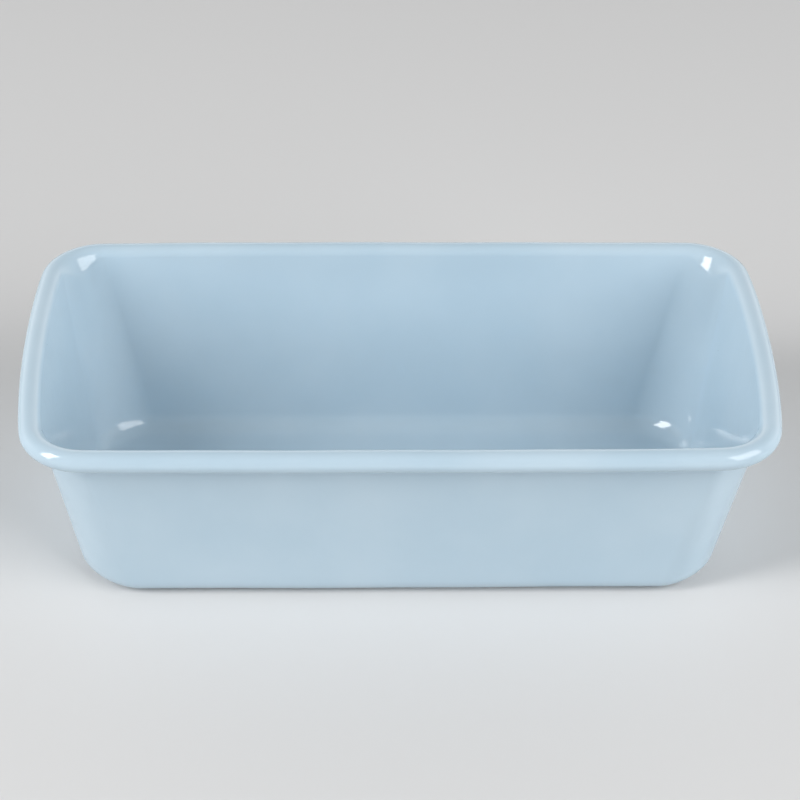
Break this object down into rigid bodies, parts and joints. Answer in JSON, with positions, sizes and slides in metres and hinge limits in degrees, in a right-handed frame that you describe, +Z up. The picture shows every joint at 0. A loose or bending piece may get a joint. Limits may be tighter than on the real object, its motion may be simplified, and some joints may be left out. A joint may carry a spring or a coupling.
{
  "type": "loaf pan",
  "caption": "Deep rectangular enamelled steel loaf pan with rounded corners, tapered walls, a flat base and a thick rolled rim.",
  "frame": {"origin": "centre of the flat base, on the surface that the pan stands on", "axes": "+X along the pan's length, +Y across its width, +Z up out of the open mouth"},
  "size_m": [0.266, 0.137, 0.0745],
  "materials": {
    "steel": "cold-rolled sheet, pickled, hidden under the enamel",
    "ground_enamel": "dark fired ground coat, hidden under the cover coat",
    "cover_enamel": "pale-blue fired cover coat, glossy with a faint orange peel"
  },
  "bodies": {
    "root": {"steel_body": "steel", "ground_enamel_inside": "ground_enamel", "ground_enamel_outside": "ground_enamel", "cover_enamel_inside": "cover_enamel", "cover_enamel_outside": "cover_enamel"}
  },
  "joints": []
}
